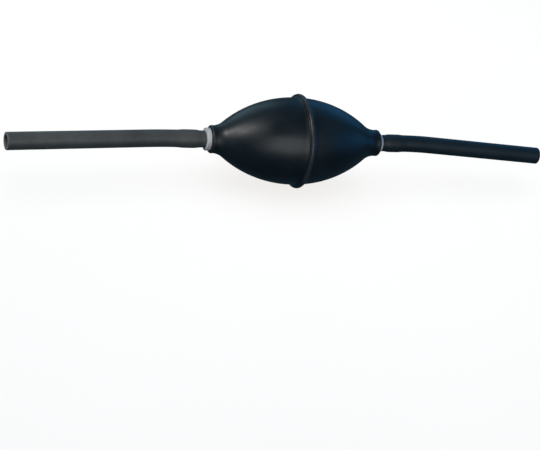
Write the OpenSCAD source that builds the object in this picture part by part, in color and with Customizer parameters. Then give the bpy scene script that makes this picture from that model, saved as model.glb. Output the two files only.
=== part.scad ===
// Double-ended rubber aspirator bulb with two ball check valves and two rubber tubes.
// X runs along the bulb from inlet to outlet, +Z is up.
// The origin is the lowest point of the moulded ridge, where the bulb lies in the hand.

/* [Bulb] */
// Outer radius of the bulb at its widest
body_r = 29; // [27:0.5:31]
// Radius of the long arc that shapes the bulb from end to end
body_arc_r = 79.2; // [76:0.2:82]
// Distance from the widest place to the inlet lip
inlet_half_len = 58.7; // [58:0.1:60]
// Distance from the widest place to the outlet lip
outlet_half_len = 60.5; // [59.5:0.1:61.5]
// Thickness of the rubber wall
wall = 2.25; // [1.8:0.05:2.5]
// Distance of the widest place from the ridge, towards the inlet
mid_offset = 2.4; // [0:0.1:4]

/* [Ridge] */
// Outer radius of the moulded ridge
ridge_r = 31.4; // [31:0.1:32.5]
// Half width of the ridge's round bead
ridge_half_w = 1.8; // [1.4:0.1:2.2]

/* [Necks] */
// Outer radius of the inlet neck
inlet_neck_r = 9.1; // [8.8:0.05:9.4]
// Radius of the fillet between body and inlet neck
inlet_fillet_r = 12.6; // [11:0.1:14]
// Outer radius of the outlet neck
outlet_neck_r = 8.75; // [8.5:0.05:9]
// Radius of the fillet between body and outlet neck
outlet_fillet_r = 14.4; // [12:0.1:16]
// Thickness of the rubber round each neck's bore
neck_wall = 3; // [2.8:0.05:3.1]
// Length of the straight bore in each neck, from the lip
neck_bore_len = 14; // [12:0.5:15]
// Radius of the rolled bead at each lip
lip_bead_r = 1.2; // [0.8:0.1:1.4]
// How far the rolled bead stands proud of the neck
lip_bead_proud = 0.15; // [0.1:0.05:0.4]

/* [Squeeze zones] */
// Radius of the round wall zone that a thumb or finger presses in
press_r = 24; // [20:0.5:25]
// Clearance round that zone
press_gap = 0.3; // [0.2:0.05:0.5]

/* [Nozzles] */
// Thickness of the inlet flange
inlet_flange_t = 3; // [2:0.1:4]
// Radius of the inlet flange
inlet_flange_r = 7.5; // [7:0.1:8]
// Thickness of the outlet flange
outlet_flange_t = 2; // [1.5:0.1:3]
// Radius of the outlet flange
outlet_flange_r = 6.2; // [6:0.1:6.5]
// Radius of the inlet barrel
inlet_barrel_r = 4.35; // [4.1:0.05:4.5]
// Length of the inlet barrel beyond its flange
inlet_barrel_len = 14.2; // [12:0.1:16]
// Radius of the outlet barrel
outlet_barrel_r = 4.2; // [4:0.05:4.4]
// Length of the outlet barrel beyond its flange
outlet_barrel_len = 12.4; // [11:0.1:14]
// Radius of the outlet barrel's narrower tip
outlet_tip_r = 4.05; // [3.8:0.05:4.05]
// Length of the outlet barrel's wider root
outlet_root_len = 5; // [3:0.5:7]
// Number of lengthwise flutes on the inlet barrel
flute_count = 8; // [6:1:10]
// Radius of each flute's round section
flute_r = 0.7; // [0.5:0.1:1]
// How deep each flute is cut
flute_depth = 0.35; // [0.2:0.05:0.5]
// Length of plain barrel between the flange and the flutes
flute_start = 2.5; // [1.5:0.5:4]
// How deep each retaining barb bites into the neck
barb_h = 0.45; // [0.3:0.05:0.6]

/* [Valves] */
// Radius of both valve balls
ball_r = 3.4; // [3.2:0.05:3.5]
// Radius of the ball chambers
chamber_r = 4.5; // [4.3:0.05:4.6]
// Radius of the air passage through each nozzle
passage_r = 1.8; // [1.4:0.1:2]
// Radius of the seat rings, to the middle of their section
seat_r = 2.9; // [2.7:0.05:3]
// Radius of the seat rings' round section
seat_section_r = 0.9; // [0.8:0.05:1]
// Clearance between a closed ball and its seat ring
seat_gap = 0.05; // [0.02:0.01:0.1]
// Radius of the cage and the seat cap
cap_r = 5.2; // [5:0.05:5.4]
// Thickness of the cage and the seat cap
cap_t = 2.5; // [2:0.1:3]
// Radius of the cage's middle hole
cage_hole_r = 1.3; // [1:0.1:1.5]
// Radius of the smaller air holes round it
air_hole_r = 0.8; // [0.5:0.1:0.9]
// Radius of the circle that the air holes lie on
air_ring_r = 3.8; // [3.6:0.1:4]
// Number of air holes
air_hole_count = 6; // [4:1:8]
// Length of each closed spring
spring_len = 4.2; // [3.8:0.1:4.6]
// Radius of the springs, to the middle of the wire
spring_r = 2.4; // [2.2:0.05:2.6]
// Radius of the spring wire
wire_r = 0.2; // [0.15:0.05:0.25]
// Number of turns in each spring
spring_turns = 4; // [3:0.5:5]

/* [Tubes] */
// Outer radius of the free tube
tube_r = 5.7; // [5.5:0.05:6]
// Bore radius of the free tube
tube_bore_r = 3.8; // [3.5:0.05:4]
// Outer radius where a tube is stretched over its nozzle
stretched_r = 6.05; // [5.9:0.05:6.3]
// Outer radius of a tube's nozzle end
mouth_r = 5.55; // [5.3:0.05:5.7]
// Clearance beyond a nozzle's tip before the tube's bore narrows
tip_clear = 0.5; // [0.2:0.1:1]
// Radial clearance between a nozzle and its tube
tube_fit = 0.05; // [0.02:0.01:0.1]
// Gap between a flange and its tube
flange_gap = 0.3; // [0.2:0.05:0.5]
// Length of each tube's bent stretch, on its centreline
bend_len = 20; // [15:1:60]
// Length of the inlet tube's straight free end
inlet_free_len = 92; // [50:1:100]
// Angle through which the inlet tube bends
inlet_bend = 6; // [1:0.1:10]
// Direction of that bend, turned from straight down towards the front
inlet_bend_turn = 100; // [-180:1:180]
// Length of the outlet tube's straight free end
outlet_free_len = 84.4; // [50:0.1:100]
// Angle through which the outlet tube bends
outlet_bend = 4; // [1:0.1:10]
// Direction of that bend, turned from straight down towards the front
outlet_bend_turn = 20; // [-180:1:180]

/* [Hidden] */
// Facets round ordinary pieces and round the bulb itself
FINE = 96;
SMOOTH = 180;
// Points along the bulb's long arc and along each fillet
BODY_STEPS = 20;
FILLET_STEPS = 6;
// How far cuts that meet run into each other, and how far cutters run past a piece
SLIVER = 0.01;
THROUGH = 1;
// How far a tube's straight stretches run into its bent one, and how much thicker they are
JOIN_OVERLAP = 0.5;
JOIN_STEP = 0.05;
// Shares of a nozzle's length: where the tube over it is fully stretched, and its taper beyond
BULGE_START = 0.5;
TAPER_SHARE = 0.35;
// Facets round the spring wire and points along each of its turns
WIRE_SIDES = 6;
STEPS_PER_TURN = 12;

// Colours
RUBBER = [0.05, 0.07, 0.09];
TUBE_RUBBER = [0.22, 0.24, 0.25];
WHITE_PLASTIC = [0.90, 0.90, 0.87];
CLEAR_PLASTIC = [0.76, 0.82, 0.87, 0.6];
STEEL = [0.75, 0.76, 0.78];
SEAL = [0.45, 0.20, 0.14];

// Bulb outline: the long arc's centre lies across the axis from the wall it shapes
arc_axis_r = body_r - body_arc_r;
inlet_lip = -mid_offset - inlet_half_len;
outlet_lip = -mid_offset + outlet_half_len;
inlet_bore_r = inlet_neck_r - neck_wall;
outlet_bore_r = outlet_neck_r - neck_wall;

// Retaining barbs on the part of each nozzle that sits in its neck
barb_starts = [3, 8];
barb_len = 3;

// Inlet valve, outwards to inwards: chamber floor, seat ring, ball, spring, cage
plug_len = neck_bore_len;
inlet_plug_end = inlet_lip + plug_len;
inlet_cage_x = inlet_plug_end - cap_t;
seated_rise = sqrt(pow(ball_r + seat_section_r + seat_gap, 2) - pow(seat_r, 2));
spring_rise = sqrt(pow(ball_r, 2) - pow(spring_r, 2)) + wire_r + seat_gap;
inlet_spring_x = inlet_cage_x - spring_len;
inlet_ball_x = inlet_spring_x - spring_rise;
inlet_seat_x = inlet_ball_x - seated_rise;
inlet_floor_x = inlet_seat_x - seat_section_r;

// Outlet valve, inwards to outwards: seat cap, seat ring, ball, spring, chamber end
outlet_plug_end = outlet_lip - plug_len;
outlet_seat_x = outlet_plug_end + cap_t + seat_section_r;
outlet_ball_x = outlet_seat_x + seated_rise;
outlet_spring_x = outlet_ball_x + spring_rise;
outlet_end_x = outlet_spring_x + spring_len;

// Turns a [radius, along] outline about the bulb's axis
module turned(facets = FINE) {
    translate([0, 0, ridge_r]) rotate([0, 90, 0]) rotate_extrude($fn = facets) children();
}

// A round rod or hole on the bulb's axis, from x0 to x1
module rod(r, x0, x1) {
    translate([x0, 0, ridge_r]) rotate([0, 90, 0]) cylinder(r = r, h = x1 - x0, $fn = FINE);
}

// Distance from the widest place to the middle of a neck's fillet
function fillet_s(neck_r, fillet_r) =
    sqrt(pow(body_arc_r + fillet_r, 2) - pow(neck_r + fillet_r - arc_axis_r, 2));

// Points on the bulb's long arc, or on the one inside it, from the widest place to a distance s
function long_arc(arc_r, s) =
    [for (i = [0 : BODY_STEPS]) let (t = s * i / BODY_STEPS)
        [arc_axis_r + sqrt(pow(arc_r, 2) - pow(t, 2)), t]];

// Points on the fillet, from where it leaves the long arc to the neck
function fillet_arc(neck_r, fillet_r) =
    let (middle = fillet_s(neck_r, fillet_r), start = asin(middle / (body_arc_r + fillet_r)))
    [for (i = [1 : FILLET_STEPS]) let (a = start * (1 - i / FILLET_STEPS))
        [neck_r + fillet_r * (1 - cos(a)), middle - fillet_r * sin(a)]];

// Half of the bulb's outline, from the widest place to the lip
module half_outline(half_len, neck_r, fillet_r) {
    join = fillet_s(neck_r, fillet_r) * body_arc_r / (body_arc_r + fillet_r);
    polygon(concat(
        [[0, 0]], long_arc(body_arc_r, join), fillet_arc(neck_r, fillet_r),
        [[neck_r, half_len], [0, half_len]]
    ));
    translate([neck_r + lip_bead_proud - lip_bead_r, half_len - lip_bead_r])
        circle(r = lip_bead_r, $fn = FINE);
}

// Half of the bulb's hollow, from the widest place to the step before the neck's bore
module half_hollow(half_len) {
    depth = half_len - neck_bore_len;
    polygon(concat([[0, 0]], long_arc(body_arc_r - wall, depth), [[0, depth]]));
}

// Outline of the part of a nozzle that sits in its neck, barbs included, from the lip inwards
module plug_outline(bore_r) {
    square([bore_r, plug_len]);
    for (start = barb_starts)
        polygon([
            [0, start], [bore_r + barb_h, start],
            [bore_r, start + barb_len], [0, start + barb_len]
        ]);
}

module inlet_plug() {
    turned() translate([0, inlet_lip]) plug_outline(inlet_bore_r);
}

module outlet_plug() {
    turned() translate([0, outlet_lip]) mirror([0, 1]) plug_outline(outlet_bore_r);
}

// The whole moulding, before the squeeze zones are parted from it
module bulb_wall() {
    difference() {
        union() {
            turned(SMOOTH) translate([0, -mid_offset]) {
                half_outline(outlet_half_len, outlet_neck_r, outlet_fillet_r);
                mirror([0, 1]) half_outline(inlet_half_len, inlet_neck_r, inlet_fillet_r);
            }
            turned(SMOOTH) translate([ridge_r - ridge_half_w, 0])
                circle(r = ridge_half_w, $fn = FINE);
        }
        turned(SMOOTH) translate([0, -mid_offset]) {
            half_hollow(outlet_half_len);
            mirror([0, 1]) half_hollow(inlet_half_len);
        }
        inlet_plug();
        outlet_plug();
    }
}

// Straight cutter along Y, from y0 to y1, that parts the squeeze zones from the bulb
module press_cutter(r, y0, y1) {
    translate([-mid_offset, y1, ridge_r]) rotate([90, 0, 0])
        cylinder(r = r, h = y1 - y0, $fn = FINE);
}

module bulb_shell() {
    color(RUBBER) difference() {
        bulb_wall();
        press_cutter(press_r + press_gap, -ridge_r - THROUGH, ridge_r + THROUGH);
    }
}

module front_squeeze_wall() {
    color(RUBBER) intersection() {
        bulb_wall();
        press_cutter(press_r, -ridge_r - THROUGH, 0);
    }
}

module rear_squeeze_wall() {
    color(RUBBER) intersection() {
        bulb_wall();
        press_cutter(press_r, 0, ridge_r + THROUGH);
    }
}

// Lengthwise flutes round the inlet barrel, from x0 to x1
module flutes(x0, x1) {
    flute_axis_r = inlet_barrel_r + flute_r - flute_depth;
    for (i = [0 : flute_count - 1])
        translate([x0, 0, ridge_r]) rotate([i * 360 / flute_count, 0, 0])
            translate([0, 0, flute_axis_r]) rotate([0, 90, 0])
                cylinder(r = flute_r, h = x1 - x0, $fn = FINE);
}

module inlet_nozzle() {
    face = inlet_lip - inlet_flange_t;
    tip = face - inlet_barrel_len;
    color(WHITE_PLASTIC) difference() {
        union() {
            inlet_plug();
            rod(inlet_flange_r, face, inlet_lip);
            rod(inlet_barrel_r, tip, face);
        }
        flutes(tip - THROUGH, face - flute_start);
        rod(passage_r, tip - THROUGH, inlet_floor_x + SLIVER);
        rod(chamber_r, inlet_floor_x, inlet_cage_x + SLIVER);
        rod(cap_r, inlet_cage_x, inlet_plug_end + THROUGH);
    }
}

module outlet_nozzle() {
    face = outlet_lip + outlet_flange_t;
    tip = face + outlet_barrel_len;
    color(CLEAR_PLASTIC) difference() {
        union() {
            outlet_plug();
            rod(outlet_flange_r, outlet_lip, face);
            rod(outlet_barrel_r, face, face + outlet_root_len);
            rod(outlet_tip_r, face, tip);
        }
        rod(passage_r, outlet_end_x - SLIVER, tip + THROUGH);
        rod(chamber_r, outlet_plug_end + cap_t - SLIVER, outlet_end_x);
        rod(cap_r, outlet_plug_end - THROUGH, outlet_plug_end + cap_t);
    }
}

module seat_ring(x) {
    color(SEAL) turned() translate([seat_r, x]) circle(r = seat_section_r, $fn = FINE);
}

module inlet_seat_ring() seat_ring(inlet_seat_x);

module outlet_seat_ring() seat_ring(outlet_seat_x);

module ball(x) {
    color(STEEL) translate([x, 0, ridge_r]) sphere(r = ball_r, $fn = FINE);
}

module inlet_ball() ball(inlet_ball_x);

module outlet_ball() ball(outlet_ball_x);

// Disc with a ring of air holes that holds the inlet spring in
module inlet_ball_cage() {
    x0 = inlet_cage_x - THROUGH;
    x1 = inlet_plug_end + THROUGH;
    color(WHITE_PLASTIC) difference() {
        rod(cap_r, inlet_cage_x, inlet_plug_end);
        rod(cage_hole_r, x0, x1);
        for (i = [0 : air_hole_count - 1])
            let (a = 360 * i / air_hole_count)
                translate([0, air_ring_r * sin(a), air_ring_r * cos(a)]) rod(air_hole_r, x0, x1);
    }
}

// Disc with one central hole that the outlet seat ring lies on
module outlet_seat_cap() {
    color(CLEAR_PLASTIC) difference() {
        rod(cap_r, outlet_plug_end, outlet_plug_end + cap_t);
        rod(passage_r, outlet_plug_end - THROUGH, outlet_plug_end + cap_t + THROUGH);
    }
}

// One ring of points round a wire wound into a helix along X, at the fraction t of its length
function wire_ring(x0, length, t) =
    let (
        a = 360 * spring_turns * t,
        out = [0, sin(a), cos(a)],
        middle = [x0 + length * t, 0, ridge_r] + spring_r * out
    )
    [for (k = [0 : WIRE_SIDES - 1])
        let (b = 360 * k / WIRE_SIDES)
        middle + wire_r * (cos(b) * out + sin(b) * [1, 0, 0])];

module spring(x0) {
    steps = spring_turns * STEPS_PER_TURN;
    first = x0 + wire_r;
    length = spring_len - 2 * wire_r;
    points = [for (i = [0 : steps]) each wire_ring(first, length, i / steps)];
    sides = [for (i = [0 : steps - 1], k = [0 : WIRE_SIDES - 1])
        let (a = i * WIRE_SIDES, next = (k + 1) % WIRE_SIDES)
        [a + k, a + next, a + next + WIRE_SIDES, a + k + WIRE_SIDES]];
    caps = [
        [for (k = [WIRE_SIDES - 1 : -1 : 0]) k],
        [for (k = [0 : WIRE_SIDES - 1]) steps * WIRE_SIDES + k]
    ];
    color(STEEL) polyhedron(points, concat(sides, caps), convexity = 10);
}

module inlet_spring() spring(inlet_spring_x);

module outlet_spring() spring(outlet_spring_x);

// Tube, along +Z from its nozzle end: stretched over the nozzle, bent, then straight and free.
// The straight stretches are a hair thicker and run a little way into the bend.
module tube(nozzle_r, engaged, bend, turn, free_len) {
    fit_r = nozzle_r + tube_fit;
    outer_r = tube_r + JOIN_STEP;
    bore_r = tube_bore_r - JOIN_STEP;
    bend_r = bend_len * 180 / (PI * bend);
    bend_z = engaged * (1 + TAPER_SHARE);
    rotate_extrude($fn = FINE) polygon([
        [fit_r, 0], [mouth_r, 0], [stretched_r, engaged * BULGE_START],
        [stretched_r, engaged], [outer_r, bend_z],
        [outer_r, bend_z + JOIN_OVERLAP], [bore_r, bend_z + JOIN_OVERLAP],
        [bore_r, engaged + 2 * tip_clear], [fit_r, engaged + tip_clear]
    ]);
    translate([0, 0, bend_z]) rotate([0, 0, turn]) translate([-bend_r, 0, 0]) rotate([90, 0, 0]) {
        rotate_extrude(angle = bend, $fn = 4 * SMOOTH)
            translate([bend_r, 0]) tube_section(tube_r, tube_bore_r);
        rotate([0, 0, bend]) translate([bend_r, -JOIN_OVERLAP, 0]) rotate([-90, 0, 0])
            linear_extrude(free_len + JOIN_OVERLAP) tube_section(outer_r, bore_r);
    }
}

module tube_section(outer_r, bore_r) {
    difference() {
        circle(r = outer_r, $fn = FINE);
        circle(r = bore_r, $fn = FINE);
    }
}

module inlet_tube() {
    color(TUBE_RUBBER) translate([inlet_lip - inlet_flange_t - flange_gap, 0, ridge_r])
        rotate([0, -90, 0])
            tube(inlet_barrel_r, inlet_barrel_len, inlet_bend, inlet_bend_turn, inlet_free_len);
}

module outlet_tube() {
    color(TUBE_RUBBER) translate([outlet_lip + outlet_flange_t + flange_gap, 0, ridge_r])
        rotate([0, 90, 0])
            tube(outlet_barrel_r, outlet_barrel_len, outlet_bend, 180 - outlet_bend_turn,
                outlet_free_len);
}

bulb_shell();
front_squeeze_wall();
rear_squeeze_wall();
inlet_nozzle();
inlet_seat_ring();
inlet_ball();
inlet_spring();
inlet_ball_cage();
outlet_nozzle();
outlet_seat_cap();
outlet_seat_ring();
outlet_ball();
outlet_spring();
inlet_tube();
outlet_tube();
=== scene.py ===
"""Looks of a double-ended rubber aspirator bulb with two valves and two tubes, on its CAD frame.

Lengths are in metres. X runs along the bulb from inlet to outlet, and +Z is up.
"""

import math

import bpy
import numpy as np
from mathutils import Matrix, Vector


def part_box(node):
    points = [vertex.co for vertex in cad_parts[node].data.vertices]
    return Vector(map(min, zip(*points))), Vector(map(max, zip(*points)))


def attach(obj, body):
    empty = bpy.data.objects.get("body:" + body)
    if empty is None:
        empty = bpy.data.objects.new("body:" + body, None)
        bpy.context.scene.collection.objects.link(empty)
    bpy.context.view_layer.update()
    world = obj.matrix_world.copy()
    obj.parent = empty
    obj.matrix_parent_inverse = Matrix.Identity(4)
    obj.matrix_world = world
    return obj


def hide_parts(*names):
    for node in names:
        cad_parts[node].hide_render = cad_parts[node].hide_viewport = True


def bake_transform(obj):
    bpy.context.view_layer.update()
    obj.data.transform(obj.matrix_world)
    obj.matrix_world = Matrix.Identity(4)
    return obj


MM = 0.001

# Bulb, as in the CAD model
AXIS_Z = 31.4 * MM
BODY_R = 29 * MM
BODY_ARC_R = 79.2 * MM
INLET_HALF_LEN = 58.7 * MM
OUTLET_HALF_LEN = 60.5 * MM
MIDDLE_X = -2.4 * MM
WALL = 2.25 * MM
RIDGE_R = 31.4 * MM
RIDGE_HALF_W = 1.8 * MM
NECK_BORE_LEN = 14 * MM
NECK_WALL = 3 * MM
INLET_NECK_R = 9.1 * MM
INLET_FILLET_R = 12.6 * MM
OUTLET_NECK_R = 8.75 * MM
OUTLET_FILLET_R = 14.4 * MM
LIP_BEAD_R = 1.2 * MM
LIP_BEAD_PROUD = 0.15 * MM
INLET_LIP_X = MIDDLE_X - INLET_HALF_LEN
OUTLET_LIP_X = MIDDLE_X + OUTLET_HALF_LEN

# Details of the bulb that only the looks have
LIP_SWELL_LEN = 4 * MM
RIDGE_ROOT_W = 0.8 * MM
RIDGE_FOOT_H = 0.35 * MM

# Points along each stretch of the bulb's outline
ARC_STEPS = 44
FILLET_STEPS = 12
SWELL_STEPS = 6
BEAD_STEPS = 8
RIDGE_STEPS = 22
HOLLOW_STEPS = 30

# Tubes, as in the CAD model
TUBE_R = 5.7 * MM
TUBE_BORE_R = 3.8 * MM
STRETCHED_R = 6.05 * MM
MOUTH_R = 5.55 * MM
TUBE_FIT = 0.05 * MM
FLANGE_GAP = 0.3 * MM
BEND_LEN = 20 * MM
STRAIGHT_SHARE = 1.35
INLET_BEND = math.radians(6)
INLET_BEND_TURN = math.radians(100)
INLET_FREE_LEN = 92 * MM
OUTLET_BEND = math.radians(4)
OUTLET_BEND_TURN = math.radians(20)
OUTLET_FREE_LEN = 84.4 * MM

# Nozzles, as in the CAD model
INLET_FLANGE_T = 3 * MM
INLET_FLANGE_R = 7.5 * MM
INLET_BARREL_R = 4.35 * MM
INLET_BARREL_LEN = 14.2 * MM
OUTLET_FLANGE_T = 2 * MM
OUTLET_FLANGE_R = 6.2 * MM
OUTLET_BARREL_R = 4.2 * MM
OUTLET_BARREL_LEN = 12.4 * MM
FLUTE_COUNT = 8
FLUTE_DEPTH = 0.35 * MM
FLUTE_START = 2.5 * MM

# Details of the nozzles that only the looks have; the CAD's step is sharp and not as deep
OUTLET_TIP_R = 3.95 * MM
OUTLET_ROOT_LEN = 4.6 * MM
OUTLET_STEP_LEN = 0.4 * MM
FLUTE_RUN_OUT = 1.5 * MM
# Length over which the painted shade on the inlet flange fades out towards the barrel
PAINTED_SHADE_FADE = 0.3 * MM
INLET_EDGE_R = 0.5 * MM
OUTLET_EDGE_R = 0.35 * MM

# Valves, as in the CAD model
PASSAGE_R = 1.8 * MM
CHAMBER_R = 4.5 * MM
CAP_R = 5.2 * MM
CAP_T = 2.5 * MM
BARB_H = 0.45 * MM
BARB_STARTS = (3 * MM, 8 * MM)
BARB_LEN = 3 * MM
SPRING_R = 2.4 * MM
WIRE_R = 0.2 * MM

# Details of the springs that only the looks have: turns in all, and closed turns at each end
SPRING_TURNS = 5.5
SPRING_CLOSED_TURNS = 0.7
SPRING_STEPS = 220
WIRE_SIDES = 12

# Camera
CAMERA_TARGET = Vector((0, 0, AXIS_Z))
CAMERA_DISTANCE = 0.999
CAMERA_AZIMUTH = math.radians(-24.0)
CAMERA_ELEVATION = math.radians(30)
CAMERA_ROLL = math.radians(13.92)
CAMERA_TILT = math.radians(-3.2)
CAMERA_PAN = math.radians(1.03)
CAMERA_LENS = 100

# Light
WORLD_COLOUR = (0.35, 0.70, 1.0, 1)
WORLD_STRENGTH = 0.12
WARM_WHITE = (1.0, 0.98, 0.95)
NEUTRAL_WHITE = (1.0, 0.98, 0.96)
PAPER_WHITE = (1.0, 0.97, 0.94)
PALE_BLUE = (0.55, 0.82, 1.0)
DEEP_BLUE = (0.04, 0.42, 1.0)

# Lamps that light all but the floor: name, place, size, power in watts, colour
UNIT_LAMPS = [
    ("left_softbox", (-0.72, -0.08, 0.80), (0.30, 0.30), 5, WARM_WHITE),
    ("left_lamp", (-0.74, -0.12, 0.76), (0.10, 0.10), 5.5, WARM_WHITE),
    ("front_softbox", (0.0, -1.10, 0.45), (0.9, 0.9), 8, NEUTRAL_WHITE),
    ("rear_softbox", (-0.3, 1.15, 0.55), (0.9, 0.7), 3, PALE_BLUE),
    ("blue_side", (1.0, -0.25, 0.28), (0.9, 0.6), 2.2, DEEP_BLUE),
    ("blue_back", (0.75, 0.8, 0.5), (0.9, 0.7), 2.2, DEEP_BLUE),
]
# The one lamp that lights only the floor, in the same order
FLOOR_LAMP = ("floor_softbox", (0, 0.2, 1.8), (2.4, 2.4), 54, PAPER_WHITE)
FLOOR_HALF = 3.0

RING_SIDES = 96


# ---------------------------------------------------------------- meshes


def smoothstep(x):
    x = min(max(x, 0.0), 1.0)
    return x * x * (3 - 2 * x)


def mesh_object(name, points, faces, attributes=None):
    """A smooth-shaded mesh object that remembers each point's place at rest."""
    mesh = bpy.data.meshes.new(name)
    mesh.from_pydata([tuple(p) for p in points], [], faces)
    mesh.polygons.foreach_set("use_smooth", [True] * len(mesh.polygons))
    rest = mesh.attributes.new("rest_place", "FLOAT_VECTOR", "POINT")
    rest.data.foreach_set("vector", [c for p in points for c in p])
    for key, values in (attributes or {}).items():
        mesh.attributes.new(key, "FLOAT", "POINT").data.foreach_set("value", values)
    mesh.update()
    piece = bpy.data.objects.new(name, mesh)
    bpy.context.scene.collection.objects.link(piece)
    return piece


def ring_faces(rings, sides, closed_ring, closed_loop):
    """Quads between neighbouring rings; a closed loop joins the last ring to the first."""
    faces = []
    for i in range(rings if closed_loop else rings - 1):
        low, high = i * sides, (i + 1) % rings * sides
        for k in range(sides if closed_ring else sides - 1):
            following = (k + 1) % sides
            faces.append((low + k, high + k, high + following, low + following))
    return faces


def plain_radius(x, radius, angle):
    return radius


# No painted shade at all
def unshaded(x, radius):
    return 0


def turned(name, outline, shape=plain_radius, painted_shade=unshaded, sides=RING_SIDES):
    """Turns a closed outline of (x, radius) points about the bulb's axis.

    shape gives a point's own radius, and the last function gives how much painted shade, a grey
    standing in for shade, the outline has there.
    """
    points, painted_shade_values = [], []
    for x, radius in outline:
        for k in range(sides):
            angle = math.tau * k / sides
            r = shape(x, radius, angle)
            points.append((x, r * math.sin(angle), AXIS_Z + r * math.cos(angle)))
            painted_shade_values.append(painted_shade(x, radius))
    faces = ring_faces(len(outline), sides, True, True)
    return mesh_object(name, points, faces, {"painted_shade": painted_shade_values})


def rounded(outline, radius, steps=5):
    """The closed outline with each corner replaced by a small arc-like curve."""
    result = []
    count = len(outline)
    most_of_side = 0.45
    for i, corner in enumerate(outline):
        corner = Vector(corner)
        before = Vector(outline[i - 1]) - corner
        after = Vector(outline[(i + 1) % count]) - corner
        cut = min(radius, most_of_side * before.length, most_of_side * after.length)
        start = corner + before.normalized() * cut
        end = corner + after.normalized() * cut
        for step in range(steps + 1):
            t = step / steps
            result.append(tuple((1 - t) ** 2 * start + 2 * t * (1 - t) * corner + t * t * end))
    return result


# ---------------------------------------------------------------- camera, light and floor


def make_camera():
    data = bpy.data.cameras.new("camera")
    data.lens = CAMERA_LENS
    camera = bpy.data.objects.new("camera", data)
    bpy.context.scene.collection.objects.link(camera)
    away = Vector((
        math.sin(CAMERA_AZIMUTH) * math.cos(CAMERA_ELEVATION),
        -math.cos(CAMERA_AZIMUTH) * math.cos(CAMERA_ELEVATION),
        math.sin(CAMERA_ELEVATION),
    ))
    facing = (-away).to_track_quat("-Z", "Y").to_matrix().to_4x4()
    turn = (
        Matrix.Rotation(CAMERA_ROLL, 4, "Z")
        @ Matrix.Rotation(CAMERA_TILT, 4, "X")
        @ Matrix.Rotation(CAMERA_PAN, 4, "Y")
    )
    place = Matrix.Translation(CAMERA_TARGET + away * CAMERA_DISTANCE)
    camera.matrix_world = place @ facing @ turn
    bpy.context.scene.camera = camera


def area_light(name, place, size, power, colour):
    """Rectangular lamp that faces the middle of the bulb."""
    data = bpy.data.lights.new(name, "AREA")
    data.shape = "RECTANGLE"
    data.size, data.size_y = size
    data.energy = power
    data.color = colour
    light = bpy.data.objects.new(name, data)
    bpy.context.scene.collection.objects.link(light)
    light.location = place
    facing = (CAMERA_TARGET - Vector(place)).to_track_quat("-Z", "Y")
    light.rotation_euler = facing.to_euler()
    return light


def make_lights(floor):
    """Dim bluish surroundings and soft lamps for the unit, and one overhead lamp for the floor."""
    world = bpy.data.worlds.new("studio")
    bpy.context.scene.world = world
    world.use_nodes = True
    background = world.node_tree.nodes["Background"]
    background.inputs["Color"].default_value = WORLD_COLOUR
    background.inputs["Strength"].default_value = WORLD_STRENGTH

    all_but_floor = bpy.data.collections.new("all_but_floor")
    all_but_floor.objects.link(floor)
    all_but_floor.collection_objects[0].light_linking.link_state = "EXCLUDE"
    for values in UNIT_LAMPS:
        lamp = area_light(*values)
        lamp.light_linking.receiver_collection = all_but_floor

    only_floor = bpy.data.collections.new("only_floor")
    only_floor.objects.link(floor)
    overhead = area_light(*FLOOR_LAMP)
    overhead.light_linking.receiver_collection = only_floor
    overhead.light_linking.blocker_collection = only_floor


def make_floor():
    """Pale paper floor, which lights neither the rubber above it nor its reflections."""
    low, high = -FLOOR_HALF, FLOOR_HALF
    corners = [(low, low, 0), (high, low, 0), (high, high, 0), (low, high, 0)]
    floor = mesh_object("floor", corners, [(0, 1, 2, 3)])
    graph = Graph("floor_paper")
    tone = graph.ramp(graph.noise(4, detail=2, place="Object"), [(0, 0.90), (1, 0.93)])
    graph.link(tone, graph.shader.inputs["Base Color"])
    graph.set(Roughness=0.9, Specular_IOR_Level=0.1)
    floor.data.materials.append(graph.material)
    floor.visible_diffuse = False
    floor.visible_glossy = False
    return floor


# ---------------------------------------------------------------- materials


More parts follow.
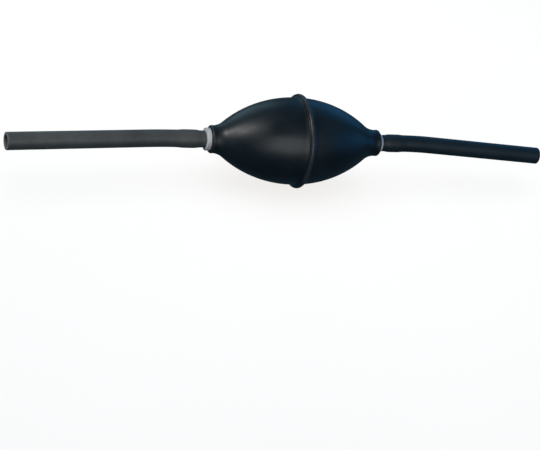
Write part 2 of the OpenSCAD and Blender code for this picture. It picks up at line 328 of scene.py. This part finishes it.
class Graph:
    """A material's nodes, with a short call for each kind that the materials below use."""

    def __init__(self, name):
        self.material = bpy.data.materials.new(name)
        self.material.use_nodes = True
        self.tree = self.material.node_tree
        self.shader = self.tree.nodes["Principled BSDF"]

    def link(self, source, target):
        self.tree.links.new(source, target)

    def node(self, kind):
        return self.tree.nodes.new(kind)

    def attribute(self, name, output="Fac"):
        node = self.node("ShaderNodeAttribute")
        node.attribute_name = name
        return node.outputs[output]

    def noise(self, scale, detail=4, roughness=0.55, stretch=(1, 1, 1), place="rest_place"):
        """Noise whose features are about 1 / scale metres, fixed to the surface at rest."""
        mapping = self.node("ShaderNodeMapping")
        mapping.inputs["Scale"].default_value = stretch
        if place == "Object":
            source = self.node("ShaderNodeTexCoord").outputs["Object"]
        else:
            source = self.attribute(place, "Vector")
        self.link(source, mapping.inputs["Vector"])
        noise = self.node("ShaderNodeTexNoise")
        noise.inputs["Scale"].default_value = scale
        noise.inputs["Detail"].default_value = detail
        noise.inputs["Roughness"].default_value = roughness
        self.link(mapping.outputs["Vector"], noise.inputs["Vector"])
        return noise.outputs["Fac"]

    def ramp(self, factor, stops):
        """Colour for a factor; each stop is (position, grey level or colour)."""
        node = self.node("ShaderNodeValToRGB")
        elements = node.color_ramp.elements
        while len(elements) < len(stops):
            elements.new(0.5)
        for element, (position, colour) in zip(elements, stops):
            element.position = position
            rgb = colour if isinstance(colour, tuple) else (colour,) * 3
            element.color = (*rgb, 1)
        self.link(factor, node.inputs["Fac"])
        return node.outputs["Color"]

    def mix(self, factor, first, second):
        """Blend of two colours, each a socket or a plain colour."""
        node = self.node("ShaderNodeMix")
        node.data_type = "RGBA"
        self.link(factor, node.inputs["Factor"])
        for key, colour in (("A", first), ("B", second)):
            socket = next(s for s in node.inputs if s.name == key and s.type == "RGBA")
            if isinstance(colour, tuple):
                socket.default_value = (*colour, 1)
            else:
                self.link(colour, socket)
        return next(s for s in node.outputs if s.type == "RGBA")

    def math(self, operation, first, second):
        node = self.node("ShaderNodeMath")
        node.operation = operation
        for socket, value in zip(node.inputs, (first, second)):
            if isinstance(value, (int, float)):
                socket.default_value = value
            else:
                self.link(value, socket)
        return node.outputs["Value"]

    def bump(self, height, distance, below=None):
        """Bump of the given height in metres, on top of another bump's normal."""
        node = self.node("ShaderNodeBump")
        node.inputs["Distance"].default_value = distance
        node.inputs["Strength"].default_value = 1
        self.link(height, node.inputs["Height"])
        if below is not None:
            self.link(below, node.inputs["Normal"])
        self.link(node.outputs["Normal"], self.shader.inputs["Normal"])
        return node.outputs["Normal"]

    def set(self, **values):
        """Sets the shader's own sockets; spaces in their names are written as _."""
        for key, value in values.items():
            self.shader.inputs[key.replace("_", " ")].default_value = value


def bulb_rubber():
    """Moulded black rubber: satin, with faint flow marks, a rubbed ridge and lips, and dust."""
    graph = Graph("bulb_rubber")
    mottle = graph.noise(45, detail=5)
    base = graph.ramp(mottle, [(0.3, (0.0020, 0.0045, 0.0070)), (0.7, (0.0050, 0.0090, 0.0125))])
    worn = graph.math("MULTIPLY", graph.attribute("wear"), graph.noise(220, detail=6))
    rubbed = graph.mix(worn, base, (0.030, 0.032, 0.034))
    dust = graph.ramp(graph.noise(1400, detail=3), [(0.70, 0.0), (0.78, 1.0)])
    graph.link(graph.mix(graph.math("MULTIPLY", dust, 0.35), rubbed, (0.05, 0.055, 0.06)),
               graph.shader.inputs["Base Color"])
    patches = graph.noise(60, detail=6, stretch=(0.5, 1, 1))
    roughness = graph.ramp(patches, [(0.3, 0.28), (0.7, 0.50)])
    graph.link(roughness, graph.shader.inputs["Roughness"])
    flow = graph.bump(graph.noise(160, detail=3, stretch=(0.25, 1, 1)), 0.02 * MM)
    graph.bump(graph.noise(2600, detail=2), 0.012 * MM, flow)
    graph.set(Specular_IOR_Level=0.25)
    return graph.material


def tube_rubber(name, dark, pale, end):
    """Extruded rubber: matt, with fine lengthwise drag lines, dust and a paler cut end."""
    graph = Graph(name)
    base = graph.ramp(graph.noise(70, detail=5), [(0.3, dark), (0.7, pale)])
    dust = graph.ramp(graph.noise(900, detail=3), [(0.70, 0.0), (0.78, 1.0)])
    dusty = graph.mix(graph.math("MULTIPLY", dust, 0.3), base, (0.12, 0.12, 0.12))
    graph.link(graph.mix(graph.attribute("cut"), dusty, end), graph.shader.inputs["Base Color"])
    roughness = graph.ramp(graph.noise(300, detail=5), [(0.3, 0.42), (0.7, 0.58)])
    graph.link(roughness, graph.shader.inputs["Roughness"])
    lines = graph.bump(graph.noise(1500, detail=3, stretch=(0.02, 1, 1)), 0.05 * MM)
    graph.bump(graph.noise(3000, detail=2), 0.02 * MM, lines)
    graph.set(Specular_IOR_Level=0.25)
    return graph.material


def white_plastic():
    """Slightly waxy white plastic, faintly clouded, with fine marks, and a darker grey as painted
    shade where the mesh's shade attribute is set.
    """
    graph = Graph("white_plastic")
    clouding = graph.noise(120, detail=5, place="Object")
    unshaded_white = graph.ramp(clouding, [(0.3, (0.68, 0.68, 0.65)), (0.7, (0.78, 0.78, 0.75))])
    # Painted shade: a darker grey standing in for the shade on the inlet flange, mixed in by the
    # shade attribute
    grey = graph.ramp(clouding, [(0.3, (0.31, 0.33, 0.35)), (0.7, (0.37, 0.39, 0.41))])
    graph.link(graph.mix(graph.attribute("painted_shade"), unshaded_white, grey), graph.shader.inputs["Base Color"])
    roughness = graph.ramp(graph.noise(500, detail=4, place="Object"), [(0.3, 0.36), (0.7, 0.48)])
    graph.link(roughness, graph.shader.inputs["Roughness"])
    graph.bump(graph.noise(2400, detail=3, stretch=(1, 0.2, 0.2), place="Object"), 0.01 * MM)
    graph.set(Subsurface_Weight=0.25, Subsurface_Scale=1.5 * MM, Specular_IOR_Level=0.5)
    return graph.material


def clear_plastic():
    """Pale bluish clear plastic with faint flow streaks."""
    graph = Graph("clear_plastic")
    tone = graph.ramp(graph.noise(150, detail=4, place="Object"),
                      [(0.3, (0.56, 0.62, 0.68)), (0.7, (0.64, 0.70, 0.76))])
    graph.link(tone, graph.shader.inputs["Base Color"])
    roughness = graph.ramp(graph.noise(400, detail=4, place="Object"), [(0.3, 0.14), (0.7, 0.26)])
    graph.link(roughness, graph.shader.inputs["Roughness"])
    graph.bump(graph.noise(900, detail=3, stretch=(0.3, 1, 1), place="Object"), 0.015 * MM)
    graph.set(Transmission_Weight=0.45, IOR=1.49)
    return graph.material


def polished_steel(name, roughness_range):
    """Stainless steel with fine scratches in its polish."""
    graph = Graph(name)
    tone = graph.ramp(graph.noise(400, detail=4, place="Object"),
                      [(0.3, (0.50, 0.51, 0.53)), (0.7, (0.62, 0.63, 0.64))])
    graph.link(tone, graph.shader.inputs["Base Color"])
    roughness = graph.ramp(graph.noise(1800, detail=6, place="Object"),
                           [(0.35, roughness_range[0]), (0.65, roughness_range[1])])
    graph.link(roughness, graph.shader.inputs["Roughness"])
    graph.bump(graph.noise(6000, detail=4, stretch=(0.2, 1, 1), place="Object"), 0.002 * MM)
    graph.set(Metallic=1.0)
    return graph.material


def seal_rubber():
    """Red-brown seat rubber, matt, with a dusty bloom."""
    graph = Graph("seal_rubber")
    tone = graph.ramp(graph.noise(600, detail=5, place="Object"),
                      [(0.3, (0.16, 0.035, 0.020)), (0.7, (0.26, 0.065, 0.040))])
    graph.link(tone, graph.shader.inputs["Base Color"])
    roughness = graph.ramp(graph.noise(900, detail=4, place="Object"), [(0.3, 0.55), (0.7, 0.75)])
    graph.link(roughness, graph.shader.inputs["Roughness"])
    graph.bump(graph.noise(3500, detail=3, place="Object"), 0.01 * MM)
    return graph.material


# ---------------------------------------------------------------- tubes


class TubeRoute:
    """Centreline of a tube: straight over its nozzle, then an even bend, then straight again."""

    def __init__(self, side, start_x, engaged, bend, turn, free_len):
        self.engaged = engaged
        self.straight = STRAIGHT_SHARE * engaged
        self.bend = bend
        self.length = self.straight + BEND_LEN + free_len
        self.start = Vector((start_x, 0, AXIS_Z))
        self.along = Vector((side, 0, 0))
        self.sideways = Vector((0, -math.sin(turn), -math.cos(turn)))

    def at(self, s):
        """Place, direction and two cross directions at the distance s along the centreline."""
        bend_r = BEND_LEN / self.bend
        angle = self.bend * min(max(s - self.straight, 0), BEND_LEN) / BEND_LEN
        direction = self.along * math.cos(angle) + self.sideways * math.sin(angle)
        inward = self.sideways * math.cos(angle) - self.along * math.sin(angle)
        place = self.start + self.along * min(s, self.straight)
        place += self.along * (bend_r * math.sin(angle))
        place += self.sideways * (bend_r * (1 - math.cos(angle)))
        place += direction * max(s - self.straight - BEND_LEN, 0)
        return place, direction, inward, direction.cross(inward)


def tube_outline(route, nozzle_r):
    """Closed outline of (distance along, radius, cut) round the tube's wall."""
    edge = 0.3 * MM
    mouth_edge = 0.25 * edge
    end_edge = 0.3 * edge
    station_gap = 1.5 * MM
    bore_taper = 3 * MM
    engaged = route.engaged
    fit_r = nozzle_r + TUBE_FIT
    swell_start = 0.15 * engaged
    swell_len = 0.35 * engaged
    taper_len = 0.35 * engaged

    def outer(s):
        beyond = smoothstep((s - engaged) / taper_len)
        swell = smoothstep((s - swell_start) / swell_len) * (1 - beyond)
        return MOUTH_R + (TUBE_R - MOUTH_R) * beyond + (STRETCHED_R - MOUTH_R) * swell

    def inner(s):
        return fit_r + (TUBE_BORE_R - fit_r) * smoothstep((s - engaged) / bore_taper)

    count = round(route.length / station_gap)
    stations = [route.length * i / count for i in range(1, count)]
    end = route.length
    outline = [(0, MOUTH_R - edge, 1), (mouth_edge, MOUTH_R - mouth_edge, 0.4)]
    outline += [(edge, outer(edge), 0)]
    outline += [(s, outer(s), 0) for s in stations]
    outline += [(end - edge, TUBE_R, 0), (end - end_edge, TUBE_R - end_edge, 0.5)]
    outline += [(end, TUBE_R - edge, 1), (end, (TUBE_R + TUBE_BORE_R) / 2, 1)]
    outline += [(end, TUBE_BORE_R + edge, 1), (end - end_edge, TUBE_BORE_R + end_edge, 0.5)]
    outline += [(end - edge, TUBE_BORE_R, 0)]
    outline += [(s, inner(s), 0) for s in reversed(stations)]
    outline += [(edge, fit_r, 0), (0, fit_r + edge, 1)]
    return outline


def make_tube(name, body, node, route, nozzle_r, material):
    """Tube along its route, with its cut ends marked for the material."""
    outline = tube_outline(route, nozzle_r)
    points, cut = [], []
    for s, radius, cut_here in outline:
        place, _, across, up = route.at(s)
        for k in range(RING_SIDES):
            angle = math.tau * k / RING_SIDES
            points.append(place + radius * (math.cos(angle) * across + math.sin(angle) * up))
            cut.append(cut_here)
    faces = ring_faces(len(outline), RING_SIDES, True, True)
    tube = mesh_object(name, points, faces, {"cut": cut})
    tube.data.materials.append(material)
    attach(tube, body)
    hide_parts(node)
    stations = 30
    path = [route.at(route.length * i / stations)[0] for i in range(stations + 1)]
    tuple(path[0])


# ---------------------------------------------------------------- bulb


def half_profile(half_len, neck_r, fillet_r):
    """Outer (distance from the widest place, radius) points of half the bulb, ridge left out."""
    arc_axis_r = BODY_R - BODY_ARC_R
    middle = math.sqrt((BODY_ARC_R + fillet_r) ** 2 - (neck_r + fillet_r - arc_axis_r) ** 2)
    join = middle * BODY_ARC_R / (BODY_ARC_R + fillet_r)
    points = []
    for i in range(ARC_STEPS + 1):
        s = join * i / ARC_STEPS
        points.append((s, arc_axis_r + math.sqrt(BODY_ARC_R**2 - s**2)))
    start = math.asin(middle / (BODY_ARC_R + fillet_r))
    for i in range(1, FILLET_STEPS + 1):
        angle = start * (1 - i / FILLET_STEPS)
        points.append((middle - fillet_r * math.sin(angle),
                       neck_r + fillet_r * (1 - math.cos(angle))))
    lip_r = neck_r + LIP_BEAD_PROUD
    swell_start = half_len - LIP_SWELL_LEN
    swell_len = LIP_SWELL_LEN - LIP_BEAD_R
    for i in range(SWELL_STEPS + 1):
        share = i / SWELL_STEPS
        points.append((swell_start + swell_len * share,
                       neck_r + LIP_BEAD_PROUD * smoothstep(share)))
    for i in range(1, BEAD_STEPS + 1):
        angle = math.radians(90 - 90 * i / BEAD_STEPS)
        points.append((half_len - LIP_BEAD_R * (1 - math.cos(angle)),
                       lip_r - LIP_BEAD_R * (1 - math.sin(angle))))
    return points


def with_ridge(profile):
    """The outer (x, radius) profile with the moulded ridge and its small root fillets."""
    root = RIDGE_HALF_W + RIDGE_ROOT_W
    foot_start = 0.8 * RIDGE_HALF_W
    crest_r = RIDGE_R - RIDGE_HALF_W

    def body_radius(x):
        return float(np.interp(x, [p[0] for p in profile], [p[1] for p in profile]))

    ridge = []
    for i in range(RIDGE_STEPS + 1):
        x = root * (2 * i / RIDGE_STEPS - 1)
        inside = max(RIDGE_HALF_W**2 - x * x, 0)
        bead = crest_r + math.sqrt(inside)
        lift = max(bead - body_radius(x), 0)
        foot = RIDGE_FOOT_H * (1 - smoothstep((abs(x) - foot_start) / (root - foot_start)))
        ridge.append((x, body_radius(x) + max(lift, foot)))
    before = [p for p in profile if p[0] < -root]
    after = [p for p in profile if p[0] > root]
    return before + ridge + after


def bulb_outline():
    """Outer surface from inlet lip to outlet lip, then the inside back to the inlet."""
    inlet_half = half_profile(INLET_HALF_LEN, INLET_NECK_R, INLET_FILLET_R)
    outlet_half = half_profile(OUTLET_HALF_LEN, OUTLET_NECK_R, OUTLET_FILLET_R)
    inlet = [(MIDDLE_X - s, r) for s, r in inlet_half]
    outlet = [(MIDDLE_X + s, r) for s, r in outlet_half]
    outer = with_ridge(inlet[::-1] + outlet[1:])
    inner_arc = BODY_ARC_R - WALL
    inlet_end = INLET_LIP_X + NECK_BORE_LEN
    outlet_end = OUTLET_LIP_X - NECK_BORE_LEN
    inner = []
    for i in range(HOLLOW_STEPS + 1):
        x = outlet_end + (inlet_end - outlet_end) * i / HOLLOW_STEPS
        inner.append((x, BODY_R - BODY_ARC_R + math.sqrt(inner_arc**2 - (x - MIDDLE_X) ** 2)))
    outlet_bore_r = OUTLET_NECK_R - NECK_WALL
    inlet_bore_r = INLET_NECK_R - NECK_WALL
    outlet_bore = [(OUTLET_LIP_X, outlet_bore_r), (outlet_end, outlet_bore_r)]
    inlet_bore = [(inlet_end, inlet_bore_r), (INLET_LIP_X, inlet_bore_r)]
    return outer, outlet_bore + inner + inlet_bore


def rubbed(x, radius):
    """How worn the rubber is: most on the ridge's crest and the lips."""
    crest_start = BODY_R + 1.2 * MM
    crest_rise = 1.2 * MM
    lip_len = 2.5 * MM
    lip_wear = 0.6
    crest = smoothstep((radius - crest_start) / crest_rise)
    end = min(abs(x - INLET_LIP_X), abs(x - OUTLET_LIP_X))
    return max(crest, lip_wear * (1 - smoothstep(end / lip_len)))


def make_bulb_half(name, side, nodes, material):
    """Front (side -1) or rear (side +1) half of the bulb."""
    outer, inner = bulb_outline()
    outline = outer + inner
    sides = RING_SIDES + 1
    points, wear = [], []
    for x, radius in outline:
        for k in range(sides):
            angle = -side * math.pi * (k / (sides - 1))
            y = side * radius * abs(math.sin(angle))
            points.append((x, y, AXIS_Z + radius * math.cos(angle)))
            wear.append(rubbed(x, radius))
    faces = ring_faces(len(outline), sides, False, True)
    if side < 0:
        faces = [tuple(reversed(face)) for face in faces]
    half = mesh_object(name, points, faces, {"wear": wear})
    half.data.materials.append(material)
    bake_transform(half)
    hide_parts(*nodes)


# ---------------------------------------------------------------- nozzles and valves


def plug_outline(lip_x, bore_r, inward):
    """Outer points of a nozzle's part inside its neck, barbs included, from the lip inwards."""
    points = [(lip_x, bore_r)]
    for start in BARB_STARTS:
        points += [
            (lip_x + inward * start, bore_r),
            (lip_x + inward * start, bore_r + BARB_H),
            (lip_x + inward * (start + BARB_LEN), bore_r),
        ]
    return points + [(lip_x + inward * NECK_BORE_LEN, bore_r)]


def make_inlet_nozzle(material):
    """White nozzle: flange greyed by painted shade, fluted barrel, plug with barbs and ball
    chamber.
    """
    face = INLET_LIP_X - INLET_FLANGE_T
    tip = face - INLET_BARREL_LEN
    plug_end = INLET_LIP_X + NECK_BORE_LEN
    cage_x = plug_end - CAP_T
    floor_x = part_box("inlet_seat_ring")[0].x
    outline = [(tip, PASSAGE_R), (tip, INLET_BARREL_R), (face, INLET_BARREL_R),
               (face, INLET_FLANGE_R), (INLET_LIP_X, INLET_FLANGE_R)]
    outline += plug_outline(INLET_LIP_X, INLET_NECK_R - NECK_WALL, 1)
    outline += [(plug_end, CAP_R), (cage_x, CAP_R), (cage_x, CHAMBER_R), (floor_x, CHAMBER_R),
                (floor_x, PASSAGE_R)]

    # Shares of the barrel's radius: where the flutes begin outside the bore, and their fade there
    bore_share, fade_share = 0.6, 0.3
    # Share of the barrel's radius beyond it, over which the flange turns to the grey of its painted
    # shade
    painted_shade_share = 0.2

    def fluted(x, radius, angle):
        if x > face:
            return radius
        along = smoothstep((face - FLUTE_START - x) / FLUTE_RUN_OUT)
        outside = smoothstep((radius / INLET_BARREL_R - bore_share) / fade_share)
        groove = max(math.cos(FLUTE_COUNT * angle), 0) ** 3
        return radius - FLUTE_DEPTH * groove * along * outside

    # Painted shade: the flange and what lies behind it, wider than the barrel, get a grey standing
    # in for shade.
    def painted_shade(x, radius):
        wider_than_barrel = smoothstep((radius / INLET_BARREL_R - 1) / painted_shade_share)
        return wider_than_barrel * smoothstep((x - face) / PAINTED_SHADE_FADE + 1)

    nozzle = turned("inlet_nozzle_detail", rounded(outline, INLET_EDGE_R), fluted, painted_shade,
                    3 * RING_SIDES)
    nozzle.data.materials.append(material)
    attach(nozzle, "bulb")
    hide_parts("inlet_nozzle")


def make_outlet_nozzle(material):
    """Clear nozzle: small flange, stepped barrel, plug with barbs and ball chamber."""
    face = OUTLET_LIP_X + OUTLET_FLANGE_T
    tip = face + OUTLET_BARREL_LEN
    plug_end = OUTLET_LIP_X - NECK_BORE_LEN
    chamber_x = plug_end + CAP_T
    end_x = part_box("outlet_spring")[1].x
    step_x = face + OUTLET_ROOT_LEN
    outline = [(end_x, PASSAGE_R), (end_x, CHAMBER_R), (chamber_x, CHAMBER_R), (chamber_x, CAP_R),
               (plug_end, CAP_R)]
    outline += reversed(plug_outline(OUTLET_LIP_X, OUTLET_NECK_R - NECK_WALL, -1))
    outline += [(OUTLET_LIP_X, OUTLET_FLANGE_R), (face, OUTLET_FLANGE_R), (face, OUTLET_BARREL_R),
                (step_x, OUTLET_BARREL_R), (step_x + OUTLET_STEP_LEN, OUTLET_TIP_R),
                (tip, OUTLET_TIP_R), (tip, PASSAGE_R)]
    nozzle = turned("outlet_nozzle_detail", rounded(outline[::-1], OUTLET_EDGE_R))
    nozzle.data.materials.append(material)
    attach(nozzle, "bulb")
    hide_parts("outlet_nozzle")


def make_spring(name, node, material):
    """Coil of round wire with closed ends."""
    low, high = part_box(node)
    first, last = low.x + WIRE_R, high.x - WIRE_R
    open_turns = SPRING_TURNS - 2 * SPRING_CLOSED_TURNS
    points = []
    for i in range(SPRING_STEPS + 1):
        t = i / SPRING_STEPS
        angle = math.tau * SPRING_TURNS * t
        out = Vector((0, math.sin(angle), math.cos(angle)))
        rise = smoothstep((t * SPRING_TURNS - SPRING_CLOSED_TURNS) / open_turns)
        x = first + (last - first) * rise
        middle = Vector((x, 0, AXIS_Z)) + SPRING_R * out
        for k in range(WIRE_SIDES):
            turn = math.tau * k / WIRE_SIDES
            across = math.cos(turn) * out + math.sin(turn) * Vector((1, 0, 0))
            points.append(middle + WIRE_R * across)
    count = len(points)
    faces = ring_faces(SPRING_STEPS + 1, WIRE_SIDES, True, False)
    faces += [tuple(range(WIRE_SIDES)), tuple(reversed(range(count - WIRE_SIDES, count)))]
    spring = mesh_object(name, points, faces)
    spring.data.materials.append(material)
    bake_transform(spring)
    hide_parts(node)


def finish_cad_nodes(materials):
    """Gives the CAD pieces that stay as they are their materials."""
    for node, material in materials.items():
        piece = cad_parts[node]
        piece.data.materials.clear()
        piece.data.materials.append(material)


# ---------------------------------------------------------------- scene

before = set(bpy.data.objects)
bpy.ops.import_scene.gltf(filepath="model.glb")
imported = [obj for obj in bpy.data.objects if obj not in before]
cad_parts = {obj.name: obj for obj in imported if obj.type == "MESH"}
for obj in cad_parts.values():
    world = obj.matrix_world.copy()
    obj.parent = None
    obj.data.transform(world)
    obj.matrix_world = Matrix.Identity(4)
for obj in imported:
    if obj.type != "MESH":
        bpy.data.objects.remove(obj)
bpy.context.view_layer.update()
bpy.context.scene.view_settings.view_transform = "Standard"

make_camera()

inlet_route = TubeRoute(-1, INLET_LIP_X - INLET_FLANGE_T - FLANGE_GAP, INLET_BARREL_LEN,
                        INLET_BEND, INLET_BEND_TURN, INLET_FREE_LEN)
outlet_route = TubeRoute(1, OUTLET_LIP_X + OUTLET_FLANGE_T + FLANGE_GAP, OUTLET_BARREL_LEN,
                         OUTLET_BEND, OUTLET_BEND_TURN, OUTLET_FREE_LEN)
grey_rubber = tube_rubber("inlet_tube_rubber", (0.034, 0.037, 0.037), (0.050, 0.053, 0.053),
                          (0.11, 0.115, 0.12))
# Painted shade: the outlet tube is the same rubber as the inlet tube; this darker, bluish copy of
# its colours, cut end included, stands in for the shade and blue light on it.
shaded_outlet_rubber = tube_rubber("outlet_tube_shaded_rubber", (0.0030, 0.0085, 0.0130),
                                (0.0060, 0.0130, 0.0185), (0.03, 0.04, 0.05))
make_tube("inlet_tube_hose", "inlet_tube_body", "inlet_tube", inlet_route, INLET_BARREL_R,
          grey_rubber)
make_tube("outlet_tube_hose", "outlet_tube_body", "outlet_tube", outlet_route, OUTLET_BARREL_R,
          shaded_outlet_rubber)

rubber = bulb_rubber()
make_bulb_half("bulb_front_half", -1, ["bulb_shell", "front_squeeze_wall"], rubber)
make_bulb_half("bulb_rear_half", 1, ["rear_squeeze_wall"], rubber)

white = white_plastic()
clear = clear_plastic()
ball_steel = polished_steel("ball_steel", (0.08, 0.16))
wire_steel = polished_steel("spring_steel", (0.22, 0.34))
seal = seal_rubber()
make_inlet_nozzle(white)
make_outlet_nozzle(clear)
make_spring("inlet_spring_coil", "inlet_spring", wire_steel)
make_spring("outlet_spring_coil", "outlet_spring", wire_steel)
finish_cad_nodes({
    "inlet_ball": ball_steel,
    "outlet_ball": ball_steel,
    "inlet_seat_ring": seal,
    "outlet_seat_ring": seal,
    "inlet_ball_cage": white,
    "outlet_seat_cap": clear,
})

make_lights(make_floor())
